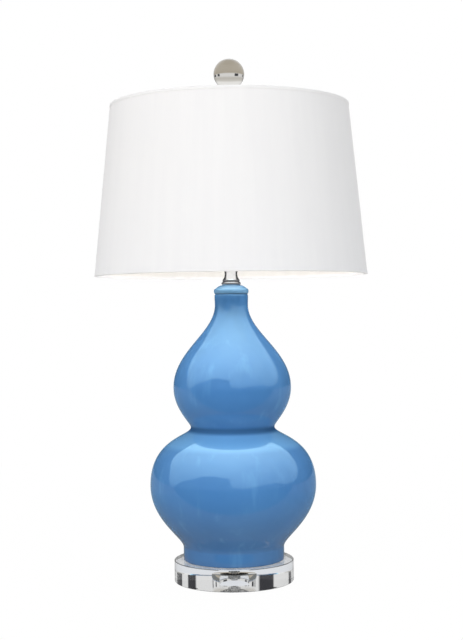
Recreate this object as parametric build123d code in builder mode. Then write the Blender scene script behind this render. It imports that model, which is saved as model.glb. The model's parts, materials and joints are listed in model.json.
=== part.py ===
from build123d import *
from math import sqrt
import os

os.makedirs("parts", exist_ok=True)

# Table lamp: a slip-cast double gourd on a clear acrylic disc, with a hard-backed linen
# shade hung on a harp. Millimetres, +Z up, the origin on the ground under the centre.
# Most pieces are turned about Z from half an outline: x is radius and y is height.

# Clearances
running_gap = 0.05  # radial, a shaft that turns in its bore
seat_gap = 0.3  # between pieces that move apart
pipe_gap = 0.4  # radial, a hole that the pipe only passes through
slip_gap = 0.1  # radial, pressed sheet pieces that nest

# Acrylic disc and its feet
base_r = 88.9
base_h = 31.75
base_edge = 0.8
recess_r = 22.2  # pocket for the nut, cut up from the underside
recess_h = 14.5
bumper_r = 5.0
bumper_h = 1.6
bumper_taper = 20  # degrees
bumper_margin = 8.0  # from the disc's edge to a bumper's
bumper_count = 4

# Threaded pipe that draws the stack together, and what holds its lower end
pipe_r = 5.1
pipe_bore_r = 3.3
pipe_tail = 2.0  # pipe that shows below the nut
nut_flats = 16.0
nut_h = 5.0
nut_bevel = 60  # degrees off the nut's axis
lock_washer_r = 9.5
lock_washer_t = 1.0
base_washer_r = 14.0
base_washer_t = 1.6

# Gourd: radii, and heights above its own foot
gourd_wall = 5.0
foot_r = 75.0
foot_h = 18.7
lower_belly_r = 123.6
lower_belly_h = 111.2
waist_r = 62.5
waist_h = 197.1
upper_belly_r = 87.7
upper_belly_h = 256.1
neck_r = 24.7
neck_h = 379.2
lip_r = 25.0
lip_rise = 16.0  # above the narrowest of the neck
lip_roll = 4.0  # upright rim of the lip
lip_round = 2.2
foot_round = 1.6
# How strongly the outline runs on up or down from each of those radii
foot_over = 15.4
lower_belly_under = 51.5
lower_belly_over = 70.0
waist_under = 13.6
waist_over = 6.5
upper_belly_under = 32.2
upper_belly_over = 55.0
neck_under = 41.3

# Bushing where the cord leaves the back of the foot
cord_bore_r = 3.5
cord_h = 10.0  # above the gourd's foot
bushing_wall = 1.5
bushing_rim = 2.5
bushing_flange_t = 1.8
bushing_flange_round = 0.9
bushing_mouth_round = 0.5
bushing_tail = 3.0  # past the inside of the gourd's wall

# Vase cap, bead ring and spool on the neck
cap_r = 25.9
cap_h = 13.2
cap_bead_h = 7.4
cap_bead_depth = 1.4
cap_crown_r = 14.6
cap_sheet = 1.4
cap_spigot_h = 5.0
cap_spigot_gap = 0.6
neck_ring_r = 14.4
neck_ring_h = 4.9
neck_ring_round = 2.2
spool_r = 12.7
spool_waist_r = 9.3
spool_h = 24.0
spool_flange_h = 3.0
spool_edge = 0.6

# Harp, and the saddle that holds its legs
harp_h = 228.6  # the saddle's strip to the shade's seat
harp_half_w = 57.0
harp_wire_r = 2.0
harp_leg_x = 31.0
harp_leg_h = 48.0  # above the strip, where a leg turns outwards
harp_flare_h = 32.0
harp_flare_round = 24.0
harp_crown_round = 48.0
harp_pad_r = 6.5
harp_pad_t = 2.6
saddle_t = 1.6
saddle_w = 12.0
saddle_bend = 4.0
shoulder_h = 13.0  # where the arm has narrowed to its tongue
shoulder_slope = 4.0
tongue_w = 3.2
tongue_h = 12.5
ferrule_wall = 1.2
ferrule_h = 13.0
ferrule_edge = 0.4
stud_r = 3.15
stud_h = 14.0
stud_tip = 0.6
stud_flange_r = 6.0
stud_flange_t = 1.6
stud_shank_r = 2.0
stud_rivet_r = 3.4
stud_rivet_t = 1.2
stud_rivet_round = 0.8

# Lampholder
hub_r = 8.0
hub_h = 7.0
holder_cap_r = 17.5
holder_cap_h = 23.0
holder_dome_h = 18.0
holder_sheet = 0.8
holder_h = 60.0
holder_rim = 1.0
holder_rim_h = 3.0
holder_rim_round = 0.8
sleeve_t = 0.8
block_r = 14.5
block_h = 16.0
block_edge = 1.0
thread_r = 13.3  # inside of the screw shell
thread_sheet = 0.6
thread_h = 25.0
thread_hole_r = 6.0
leaf_w = 6.0
leaf_t = 0.5
leaf_rise = 1.6
leaf_run = 4.0

# Turn switch
switch_h = 28.0  # above the saddle's strip
switch_shaft_r = 1.6
switch_bearing = 7.0
switch_hole_r = 2.8
knob_r = 5.5
knob_l = 13.0
knob_reach = 25.0  # from the lamp's axis to the knob's near face
knob_flutes = 12
knob_flute_r = 0.9
knob_flute_depth = 0.6
knob_seat = 8.0  # shaft inside the knob

# Bulb
bulb_r = 30.0
bulb_h = 106.0
bulb_under = 30.0  # how strongly the globe runs on down towards the neck
bulb_neck_over = 26.0
bulb_cap_r = 12.9
bulb_cap_h = 26.0
bulb_cap_sheet = 0.5
bulb_glass_t = 1.0
bulb_tuck = 4.0  # glass neck inside the cap
bulb_button_r = 4.6
bulb_button_h = 1.4
bulb_button_round = 1.0
bulb_insulator_h = 4.6

# Shade
shade_bottom_r = 203.2
shade_top_r = 177.8
shade_slant = 254.0
fitter_drop = 8.5  # the shade's top edge down to its seat on the harp
linen_t = 0.8
liner_t = 0.6
hem_t = 0.5
hem_w = 4.5
ring_wire_r = 1.3
spider_wire_r = 1.3
spider_count = 3
spider_rise_run = 22.0  # length over which an arm rises to the ring
spider_round = 12.0
spider_washer_r = 12.5
spider_washer_t = 2.6
spider_hole_r = 5.2

# Finial
finial_h = 76.2
ball_r = 22.9
finial_foot_r = 8.5
finial_foot_h = 4.0
finial_stem_r = 4.8
finial_stem_end_r = 7.2
finial_cup_r = 10.0
finial_cup_h = 4.5
finial_edge = 0.6
finial_bore_spare = 1.5

# Heights of the stack, up from the ground
base_z = bumper_h
recess_z = base_z + recess_h
foot_z = base_z + base_h
lip_z = foot_z + neck_h + lip_rise
cap_z = lip_z + cap_h
neck_ring_z = cap_z + neck_ring_h
spool_z = neck_ring_z + spool_h
saddle_z = spool_z + saddle_t
seat_z = saddle_z + harp_h
washer_z = seat_z + spider_washer_t
finial_z = washer_z + finial_h

pipe_hole_r = pipe_r + pipe_gap
neck_bore_r = neck_r - gourd_wall


def write(piece, node):
    piece.part.label = node
    export_step(piece.part, f"parts/{node}.step")


def band(inner_r, outer_r, low_z, high_z):
    """A plain ring's half section, added to the open sketch."""
    with Locations((inner_r, low_z)):
        Rectangle(outer_r - inner_r, high_z - low_z, align=(Align.MIN, Align.MIN))


def swell(low, high, low_run, high_run):
    """Stretch of an outline that leaves and arrives upright."""
    return Bezier(low, (low[0], low[1] + low_run), (high[0], high[1] - high_run), high)


def lined(low, high, low_run, high_run, wall):
    """The same stretch one wall further in: its runs are shorter where the outline swells and
    longer where it draws in, so that both curves share their centres of curvature there."""
    bend = (high[0] - low[0]) * wall * 2 / 3
    inner_low, inner_high = (low[0] - wall, low[1]), (high[0] - wall, high[1])
    return swell(inner_low, inner_high, sqrt(low_run**2 + bend), sqrt(high_run**2 - bend))


# The acrylic disc: bevelled edges, a hole for the pipe and a pocket below for its nut
with BuildPart() as acrylic_base:
    with BuildSketch(Plane.XY.offset(base_z)):
        Circle(base_r)
    extrude(amount=base_h)
    chamfer(acrylic_base.edges(), base_edge)
    with Locations(Plane(origin=(0, 0, base_z), z_dir=(0, 0, -1))):
        CounterBoreHole(pipe_hole_r, recess_r, recess_h)
write(acrylic_base, "acrylic_base")

# Soft bumpers under it
with BuildPart() as bumper_feet:
    with BuildSketch(Plane.XY.offset(base_z)):
        with PolarLocations(base_r - bumper_margin - bumper_r, bumper_count, start_angle=45):
            Circle(bumper_r)
    extrude(amount=-bumper_h, taper=bumper_taper)
write(bumper_feet, "bumper_feet")

# Washers and nut that pull the pipe down, inside the pocket
with BuildPart() as base_washer:
    with BuildSketch(Plane.XZ):
        band(pipe_hole_r, base_washer_r, recess_z - base_washer_t, recess_z)
    revolve(axis=Axis.Z)
write(base_washer, "base_washer")

lock_washer_z = recess_z - base_washer_t - lock_washer_t
with BuildPart() as lock_washer:
    with BuildSketch(Plane.XZ):
        band(pipe_hole_r, lock_washer_r, lock_washer_z, lock_washer_z + lock_washer_t)
    revolve(axis=Axis.Z)
write(lock_washer, "lock_washer")

nut_z = lock_washer_z - nut_h
with BuildPart() as base_nut:
    with BuildSketch(Plane.XY.offset(nut_z)):
        RegularPolygon(nut_flats / 2, 6, major_radius=False)
        Circle(pipe_r, mode=Mode.SUBTRACT)
    extrude(amount=nut_h)
    with BuildSketch(Plane.XY.offset(nut_z)):
        Circle(nut_flats / 2)
    extrude(amount=nut_h, taper=-nut_bevel, mode=Mode.INTERSECT)
write(base_nut, "base_nut")

# The gourd: a wall of even thickness inside the outline, closed below but for the pipe
foot = (foot_r, foot_z + foot_h)
lower_belly = (lower_belly_r, foot_z + lower_belly_h)
waist = (waist_r, foot_z + waist_h)
upper_belly = (upper_belly_r, foot_z + upper_belly_h)
neck = (neck_r, foot_z + neck_h)
lip = (lip_r, lip_z - lip_roll)
lip_run = (lip[1] - neck[1]) / 3
stretches = [
    (foot, lower_belly, foot_over, lower_belly_under),
    (lower_belly, waist, lower_belly_over, waist_under),
    (waist, upper_belly, waist_over, upper_belly_under),
    (upper_belly, neck, upper_belly_over, neck_under),
    (neck, lip, lip_run, lip_run),
]
with BuildPart() as gourd_body:
    with BuildSketch(Plane.XZ):
        with BuildLine():
            Polyline((pipe_hole_r, foot_z), (foot_r, foot_z), foot)
            for stretch in stretches:
                swell(*stretch)
            linings = [lined(*stretch, gourd_wall) for stretch in stretches]
            Polyline(lip, (lip_r, lip_z), (lip_r - gourd_wall, lip_z), linings[-1] @ 1)
            Polyline(
                linings[0] @ 0,
                (foot_r - gourd_wall, foot_z + gourd_wall),
                (pipe_hole_r, foot_z + gourd_wall),
                (pipe_hole_r, foot_z),
            )
        make_face()
    revolve(axis=Axis.Z)
    rims = gourd_body.edges().filter_by(GeomType.CIRCLE).group_by(Axis.Z)
    fillet(rims[-1].sort_by(SortBy.RADIUS)[-1], lip_round)
    fillet(rims[0].sort_by(SortBy.RADIUS)[-1], foot_round)
    with Locations(Plane(origin=(0, foot_r, foot_z + cord_h), z_dir=(0, 1, 0))):
        Hole(cord_bore_r + bushing_wall, depth=gourd_wall + bushing_tail)
write(gourd_body, "gourd_body")

# Nylon bushing in the back of the foot, its flange outside
bushing_r = cord_bore_r + bushing_wall
bushing_l = bushing_flange_t + gourd_wall + bushing_tail
with BuildPart() as cord_bushing:
    with BuildSketch(Plane(origin=(0, foot_r, foot_z + cord_h), z_dir=(0, 1, 0))):
        Circle(bushing_r + bushing_rim)
    extrude(amount=bushing_flange_t)
    fillet(cord_bushing.faces().sort_by(Axis.Y)[-1].edges(), bushing_flange_round)
    with BuildSketch(Plane(origin=(0, foot_r, foot_z + cord_h), z_dir=(0, 1, 0))):
        Circle(bushing_r)
    extrude(amount=-gourd_wall - bushing_tail)
    with Locations(Plane(origin=(0, foot_r + bushing_flange_t, foot_z + cord_h), z_dir=(0, 1, 0))):
        Hole(cord_bore_r, depth=bushing_l)
    mouth = cord_bushing.faces().sort_by(Axis.Y)[-1].edges().sort_by(SortBy.RADIUS)[0]
    fillet(mouth, bushing_mouth_round)
write(cord_bushing, "cord_bushing")

# Spun vase cap: beaded rim on the lip, domed crown, and a spigot down inside the neck
spigot_r = neck_bore_r - cap_spigot_gap
with BuildPart() as vase_cap:
    with BuildSketch(Plane.XZ):
        with BuildLine():
            bead = ThreePointArc(
                (cap_r - cap_bead_depth, lip_z),
                (cap_r, lip_z + cap_bead_h / 2),
                (cap_r - cap_bead_depth / 2, lip_z + cap_bead_h),
            )
            crown = TangentArc((cap_crown_r, cap_z), bead @ 1, tangent=(1, 0))
            Polyline(
                bead @ 0,
                (spigot_r, lip_z),
                (spigot_r, lip_z - cap_spigot_h),
                (spigot_r - cap_sheet, lip_z - cap_spigot_h),
                (spigot_r - cap_sheet, lip_z + cap_bead_h - cap_sheet),
                (cap_crown_r - cap_sheet, cap_z - cap_sheet),
                (pipe_hole_r, cap_z - cap_sheet),
                (pipe_hole_r, cap_z),
                crown @ 0,
            )
        make_face()
    revolve(axis=Axis.Z)
write(vase_cap, "vase_cap")

# Bead ring and waisted spool on top of the cap
with BuildPart() as neck_ring:
    with BuildSketch(Plane.XZ) as ring_section:
        band(pipe_hole_r, neck_ring_r, cap_z, neck_ring_z)
        fillet(ring_section.vertices().group_by(Axis.X)[-1], neck_ring_round)
    revolve(axis=Axis.Z)
write(neck_ring, "neck_ring")

with BuildPart() as neck_spool:
    with BuildSketch(Plane.XZ) as spool_section:
        band(pipe_hole_r, spool_r, neck_ring_z, spool_z)
        with BuildLine():
            hollow = ThreePointArc(
                (spool_r, neck_ring_z + spool_flange_h),
                (spool_waist_r, (neck_ring_z + spool_z) / 2),
                (spool_r, spool_z - spool_flange_h),
            )
            Line(hollow @ 1, hollow @ 0)
        make_face(mode=Mode.SUBTRACT)
        fillet(spool_section.vertices().group_by(Axis.X)[-1], spool_edge)
    revolve(axis=Axis.Z)
write(neck_spool, "neck_spool")

# Saddle: one strip bent up at both ends, its arms narrowed to tongues for the harp
arm_x = harp_leg_x - seat_gap  # outer face of an arm
tongue_z = saddle_z + shoulder_h + tongue_h
with BuildPart() as harp_saddle:
    with BuildSketch(Plane.XZ):
        with BuildLine():
            FilletPolyline(
                (-arm_x, tongue_z),
                (-arm_x, spool_z),
                (arm_x, spool_z),
                (arm_x, tongue_z),
                radius=saddle_bend,
            )
            offset(amount=saddle_t, side=Side.LEFT)
        make_face()
    extrude(amount=saddle_w / 2, both=True)
    with BuildSketch(Plane.YZ):
        with BuildLine():
            Polyline(
                (saddle_w / 2, spool_z),
                (saddle_w / 2, saddle_z + shoulder_h - shoulder_slope),
                (tongue_w / 2, saddle_z + shoulder_h),
                (tongue_w / 2, tongue_z),
                (0, tongue_z),
                (0, spool_z),
                close=True,
            )
        make_face()
        mirror(about=Plane.YZ)
    extrude(amount=harp_leg_x, both=True, mode=Mode.INTERSECT)
    with Locations(Plane.XY.offset(saddle_z)):
        Hole(pipe_hole_r)
write(harp_saddle, "harp_saddle")

# Harp: one wire, its legs straight to the saddle, flared, and closed over the bulb
leg_z = saddle_z + shoulder_h + seat_gap
flare_z = saddle_z + harp_leg_h
crown_z = seat_z - stud_flange_t - harp_pad_t / 2  # centre of the wire at the top
pad_low_z = crown_z - harp_pad_t / 2
with BuildPart() as harp_bow:
    with BuildLine(Plane.XZ) as bow_line:
        FilletPolyline(
            (harp_leg_x, leg_z),
            (harp_leg_x, flare_z),
            (harp_half_w, flare_z + harp_flare_h),
            (harp_half_w, crown_z),
            (-harp_half_w, crown_z),
            (-harp_half_w, flare_z + harp_flare_h),
            (-harp_leg_x, flare_z),
            (-harp_leg_x, leg_z),
            radius=[
                harp_flare_round,
                harp_flare_round,
                harp_crown_round,
                harp_crown_round,
                harp_flare_round,
                harp_flare_round,
            ],
        )
    with BuildSketch(Plane.XY.offset(leg_z)):
        with Locations((harp_leg_x, 0)):
            Circle(harp_wire_r)
    sweep(path=bow_line.line)
    with BuildSketch(Plane.XY.offset(pad_low_z)):
        Circle(harp_pad_r)
    extrude(amount=harp_pad_t)
    with BuildSketch(Plane.XY.offset(pad_low_z)):
        Rectangle(harp_pad_r * 2, harp_pad_r * 2)
    extrude(amount=-harp_wire_r, mode=Mode.SUBTRACT)
    with BuildSketch(Plane.XY.offset(crown_z + harp_pad_t / 2)):
        Rectangle(harp_pad_r * 2, harp_pad_r * 2)
    extrude(amount=harp_wire_r, mode=Mode.SUBTRACT)
    with Locations(Plane.XY.offset(seat_z)):
        Hole(stud_shank_r, depth=seat_z - pad_low_z)
    with BuildSketch(Plane.XY.offset(leg_z)):
        Rectangle(harp_leg_x * 2, saddle_w)
    extrude(amount=tongue_h + seat_gap, mode=Mode.SUBTRACT)
write(harp_bow, "harp_bow")

# Threaded stud riveted through the flat of the harp's crown
with BuildPart() as harp_stud:
    with BuildSketch(Plane.XZ):
        band(0, stud_rivet_r, pad_low_z - stud_rivet_t, pad_low_z)
        band(0, stud_shank_r, pad_low_z, seat_z)
        band(0, stud_flange_r, seat_z - stud_flange_t, seat_z)
        band(0, stud_r, seat_z, seat_z + stud_h)
    revolve(axis=Axis.Z)
    chamfer(harp_stud.faces().sort_by(Axis.Z)[-1].edges(), stud_tip)
    fillet(harp_stud.faces().sort_by(Axis.Z)[0].edges(), stud_rivet_round)
write(harp_stud, "harp_stud")

# Ferrules that slide down over each leg and its tongue
ferrule_bore_r = sqrt((tongue_w / 2) ** 2 + (saddle_t + seat_gap) ** 2) + seat_gap
ferrule_z = saddle_z + shoulder_h + seat_gap
for side, x in (("right", harp_leg_x), ("left", -harp_leg_x)):
    with BuildPart() as ferrule:
        with BuildSketch(Plane.XY.offset(ferrule_z)):
            with Locations((x, 0)):
                Circle(ferrule_bore_r + ferrule_wall)
                Circle(ferrule_bore_r, mode=Mode.SUBTRACT)
        extrude(amount=ferrule_h)
        rims = ferrule.edges().filter_by(GeomType.CIRCLE).group_by(SortBy.RADIUS)[-1]
        fillet(rims, ferrule_edge)
    write(ferrule, f"ferrule_{side}")

# Lampholder: hub and spun cap below, shell above, with sleeve, block and screw shell
thread_z = saddle_z + holder_h - holder_rim_h - thread_h  # floor of the screw shell
block_z = thread_z - block_h
shell_r = holder_cap_r - holder_sheet - slip_gap
sleeve_r = shell_r - holder_sheet - slip_gap
with BuildPart() as socket_cap:
    with BuildSketch(Plane.XZ):
        with BuildLine():
            dome = Bezier(
                (hub_r, saddle_z + hub_h),
                (holder_cap_r, saddle_z + hub_h),
                (holder_cap_r, saddle_z + hub_h),
                (holder_cap_r, saddle_z + holder_dome_h),
            )
            lining = Bezier(
                (hub_r, saddle_z + hub_h + holder_sheet),
                (holder_cap_r - holder_sheet, saddle_z + hub_h + holder_sheet),
                (holder_cap_r - holder_sheet, saddle_z + hub_h + holder_sheet),
                (holder_cap_r - holder_sheet, saddle_z + holder_dome_h),
            )
            Polyline(
                dome @ 1,
                (holder_cap_r, saddle_z + holder_cap_h),
                (holder_cap_r - holder_sheet, saddle_z + holder_cap_h),
                lining @ 1,
            )
            Line(dome @ 0, lining @ 0)
        make_face()
        band(pipe_r, hub_r, saddle_z, saddle_z + hub_h + holder_sheet)
    revolve(axis=Axis.Z)
write(socket_cap, "socket_cap")

switch_z = saddle_z + switch_h
switch_wall = Plane(origin=(0, -holder_cap_r, switch_z), z_dir=(0, -1, 0))
with BuildPart() as socket_shell:
    with BuildSketch(Plane.XZ):
        band(shell_r - holder_sheet, shell_r, saddle_z + holder_dome_h, saddle_z + holder_h)
        band(shell_r, shell_r + holder_rim, saddle_z + holder_h - holder_rim_h, saddle_z + holder_h)
    revolve(axis=Axis.Z)
    rims = socket_shell.edges().filter_by(GeomType.CIRCLE).group_by(SortBy.RADIUS)[-1]
    fillet(rims, holder_rim_round)
    with Locations(switch_wall):
        Hole(switch_hole_r, depth=holder_cap_r)
write(socket_shell, "socket_shell")

with BuildPart() as socket_sleeve:
    with BuildSketch(Plane.XZ):
        band(sleeve_r - sleeve_t, sleeve_r, block_z, saddle_z + holder_h - holder_rim_h)
    revolve(axis=Axis.Z)
    with Locations(switch_wall):
        Hole(switch_hole_r, depth=holder_cap_r)
write(socket_sleeve, "socket_sleeve")

with BuildPart() as socket_block:
    with BuildSketch(Plane.XY.offset(block_z)):
        Circle(block_r)
    extrude(amount=block_h)
    fillet(socket_block.edges().group_by(Axis.Z)[0], block_edge)
    with Locations(Plane(origin=(0, -block_r, switch_z), z_dir=(0, -1, 0))):
        Hole(switch_shaft_r + running_gap, depth=switch_bearing)
write(socket_block, "socket_block")

with BuildPart() as screw_shell:
    with BuildSketch(Plane.XZ):
        band(thread_r, thread_r + thread_sheet, thread_z, thread_z + thread_h)
        band(thread_hole_r, thread_r + thread_sheet, thread_z, thread_z + thread_sheet)
    revolve(axis=Axis.Z)
write(screw_shell, "screw_shell")

# Centre contact: a brass leaf with its end raised
bulb_z = thread_z + thread_sheet + leaf_rise + seat_gap
with BuildPart() as centre_contact:
    with BuildSketch(Plane.XZ):
        with BuildLine():
            Polyline(
                (-leaf_run, thread_z),
                (-leaf_run / 2, thread_z),
                (0, thread_z + thread_sheet + leaf_rise - leaf_t),
                (leaf_run, thread_z + thread_sheet + leaf_rise - leaf_t),
            )
            offset(amount=leaf_t, side=Side.LEFT)
        make_face()
    extrude(amount=leaf_w / 2, both=True)
write(centre_contact, "centre_contact")

# Turn switch: a shaft in the block's bore, and a fluted knob on it
switch_axis = Plane(origin=(0, 0, switch_z), z_dir=(0, -1, 0))
with BuildPart() as switch_shaft:
    with BuildSketch(switch_axis.offset(block_r - switch_bearing + seat_gap)):
        Circle(switch_shaft_r)
    extrude(amount=knob_reach + knob_seat - (block_r - switch_bearing + seat_gap))
write(switch_shaft, "switch_shaft")

with BuildPart() as switch_knob:
    with BuildSketch(switch_axis.offset(knob_reach)):
        Circle(knob_r)
        with PolarLocations(knob_r + knob_flute_r - knob_flute_depth, knob_flutes):
            Circle(knob_flute_r, mode=Mode.SUBTRACT)
    extrude(amount=knob_l)
    with BuildSketch(switch_axis.offset(knob_reach)):
        Circle(switch_shaft_r)
    extrude(amount=knob_seat, mode=Mode.SUBTRACT)
write(switch_knob, "switch_knob")

# Bulb: glass globe, screw cap, black insulator and solder button
bulb_cap_z = bulb_z + bulb_button_h + bulb_insulator_h
bulb_neck_z = bulb_z + bulb_cap_h
bulb_top_z = bulb_z + bulb_h
bulb_neck_r = bulb_cap_r - bulb_cap_sheet - slip_gap
globe_z = bulb_top_z - bulb_r
bulb_stretch = ((bulb_neck_r, bulb_neck_z), (bulb_r, globe_z), bulb_neck_over, bulb_under)
with BuildPart() as bulb_glass:
    with BuildSketch(Plane.XZ):
        with BuildLine():
            flank = swell(*bulb_stretch)
            lining = lined(*bulb_stretch, bulb_glass_t)
            globe = RadiusArc(flank @ 1, (0, bulb_top_z), -bulb_r)
            RadiusArc(lining @ 1, (0, bulb_top_z - bulb_glass_t), bulb_glass_t - bulb_r)
            Line((0, bulb_top_z - bulb_glass_t), globe @ 1)
            Polyline(
                flank @ 0,
                (bulb_neck_r, bulb_neck_z - bulb_tuck),
                (bulb_neck_r - bulb_glass_t, bulb_neck_z - bulb_tuck),
                lining @ 0,
            )
        make_face()
    revolve(axis=Axis.Z)
write(bulb_glass, "bulb_glass")

with BuildPart() as bulb_cap:
    with BuildSketch(Plane.XZ):
        band(bulb_cap_r - bulb_cap_sheet, bulb_cap_r, bulb_cap_z, bulb_neck_z)
    revolve(axis=Axis.Z)
write(bulb_cap, "bulb_cap")

with BuildPart() as bulb_insulator:
    with BuildSketch(Plane.XY.offset(bulb_cap_z)):
        Circle(bulb_cap_r - bulb_cap_sheet)
    with BuildSketch(Plane.XY.offset(bulb_z + bulb_button_h)):
        Circle(bulb_button_r)
    loft()
write(bulb_insulator, "bulb_insulator")

with BuildPart() as bulb_button:
    with BuildSketch(Plane.XY.offset(bulb_z)):
        Circle(bulb_button_r)
    extrude(amount=bulb_button_h)
    fillet(bulb_button.faces().sort_by(Axis.Z)[0].edges(), bulb_button_round)
write(bulb_button, "bulb_button")

# Shade: linen on a stiff liner, a wire ring in a rolled hem at each edge
edge_z = seat_z + fitter_drop
shade_spread = shade_bottom_r - shade_top_r
shade_h = sqrt(shade_slant**2 - shade_spread**2)


def wall(along, inset):
    """Point of the shade's section: up the slant from the bottom edge, and inwards."""
    out_r, out_z = shade_h / shade_slant, shade_spread / shade_slant
    return (
        shade_bottom_r - along * out_z - inset * out_r,
        edge_z - shade_h + along * out_r - inset * out_z,
    )


def layer(inset, thickness):
    """Corners of one layer's half section, from hem to hem."""
    return [
        wall(hem_t, inset),
        wall(shade_slant - hem_t, inset),
        wall(shade_slant - hem_t, inset + thickness),
        wall(hem_t, inset + thickness),
    ]


def hook(edge, inwards):
    """Corners of a hem's half section: outer leg, end, and a leg inside the wire ring."""
    depth = hem_t + linen_t + liner_t + 2 * ring_wire_r + slip_gap
    return [
        wall(edge, 0),
        wall(edge + inwards * hem_w, 0),
        wall(edge + inwards * hem_w, hem_t),
        wall(edge + inwards * hem_t, hem_t),
        wall(edge + inwards * hem_t, depth),
        wall(edge + inwards * hem_w, depth),
        wall(edge + inwards * hem_w, depth + hem_t),
        wall(edge, depth + hem_t),
    ]


with BuildPart() as shade_linen:
    with BuildSketch(Plane.XZ):
        with BuildLine():
            Polyline(layer(hem_t, linen_t), close=True)
        make_face()
    revolve(axis=Axis.Z)
write(shade_linen, "shade_linen")

with BuildPart() as shade_liner:
    with BuildSketch(Plane.XZ):
        with BuildLine():
            Polyline(layer(hem_t + linen_t, liner_t), close=True)
        make_face()
    revolve(axis=Axis.Z)
write(shade_liner, "shade_liner")

# Spider: a drilled washer on the harp's seat, and wire arms that rise to the top ring
ring_inset = hem_t + linen_t + liner_t + slip_gap / 2 + ring_wire_r
ring_along = hem_t + slip_gap / 2 + ring_wire_r
ring_centre = wall(shade_slant - ring_along, ring_inset)
arm_z = seat_z + spider_washer_t / 2
with BuildPart() as spider_washer:
    with BuildSketch(Plane.XZ):
        band(spider_hole_r, spider_washer_r, seat_z, washer_z)
    revolve(axis=Axis.Z)
write(spider_washer, "spider_washer")

with BuildPart() as spider_arms:
    with BuildLine(Plane.XZ) as arm_line:
        FilletPolyline(
            (spider_washer_r - spider_wire_r, arm_z),
            (ring_centre[0] - spider_rise_run, arm_z),
            ring_centre,
            radius=spider_round,
        )
    with BuildSketch(Plane.YZ.offset(spider_washer_r - spider_wire_r)):
        with Locations((0, arm_z)):
            Circle(spider_wire_r)
    sweep(path=arm_line.line)
    with BuildSketch(Plane.XY.offset(seat_z)):
        Circle(spider_washer_r)
    extrude(amount=spider_washer_t, mode=Mode.SUBTRACT)
    with BuildSketch(Plane.XZ):
        with Locations(ring_centre):
            Circle(ring_wire_r)
    revolve(axis=Axis.Z, mode=Mode.SUBTRACT)
    one_arm = spider_arms.solids()
    with PolarLocations(0, spider_count, start_angle=90):
        add(one_arm, mode=Mode.REPLACE)
write(spider_arms, "spider_arms")

# A wire ring in each edge, and the linen hem rolled round it, slit where the arms pass
for place, edge, inwards in (("bottom", 0, 1), ("top", shade_slant, -1)):
    with BuildPart() as ring:
        with BuildSketch(Plane.XZ):
            with Locations(wall(edge + inwards * ring_along, ring_inset)):
                Circle(ring_wire_r)
        revolve(axis=Axis.Z)
    write(ring, f"shade_{place}_ring")
    with BuildPart() as hem:
        with BuildSketch(Plane.XZ):
            with BuildLine():
                Polyline(hook(edge, inwards), close=True)
            make_face()
        revolve(axis=Axis.Z)
        add(spider_arms.part, mode=Mode.SUBTRACT)
    write(hem, f"shade_{place}_hem")

# Finial: a nickel stem threaded onto the stud, and a clear ball in its cup
ball_z = finial_z - ball_r
cup_z = ball_z - sqrt(ball_r**2 - finial_cup_r**2)
stem_low_z = washer_z + finial_foot_h
stem_high_z = cup_z - finial_cup_h
with BuildPart() as finial_base:
    with BuildSketch(Plane.XZ) as stem_section:
        band(0, finial_foot_r, washer_z, stem_low_z)
        band(0, finial_cup_r, stem_high_z, cup_z)
        with BuildLine():
            waist_line = ThreePointArc(
                (finial_stem_end_r, stem_low_z),
                (finial_stem_r, (stem_low_z + stem_high_z) / 2),
                (finial_stem_end_r, stem_high_z),
            )
            Polyline(waist_line @ 1, (0, stem_high_z), (0, stem_low_z), waist_line @ 0)
        make_face()
    revolve(axis=Axis.Z)
    with Locations((0, 0, ball_z)):
        Sphere(ball_r, mode=Mode.SUBTRACT)
    with Locations(Plane(origin=(0, 0, washer_z), z_dir=(0, 0, -1))):
        Hole(stud_r + running_gap, depth=stud_h - spider_washer_t + finial_bore_spare)
    rims = finial_base.edges().filter_by(GeomType.CIRCLE)
    fillet(rims.filter_by(lambda e: e.radius > finial_foot_r - finial_edge), finial_edge)
write(finial_base, "finial_base")

with BuildPart() as finial_ball:
    with Locations((0, 0, ball_z)):
        Sphere(ball_r)
write(finial_ball, "finial_ball")

# The pipe, from below its nut to inside the lampholder's hub
with BuildPart() as lamp_pipe:
    with BuildSketch(Plane.XZ):
        band(pipe_bore_r, pipe_r, nut_z - pipe_tail, saddle_z + hub_h)
    revolve(axis=Axis.Z)
write(lamp_pipe, "lamp_pipe")
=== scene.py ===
import math
import json
import bpy
import bmesh
from mathutils import Matrix, Vector

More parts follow.
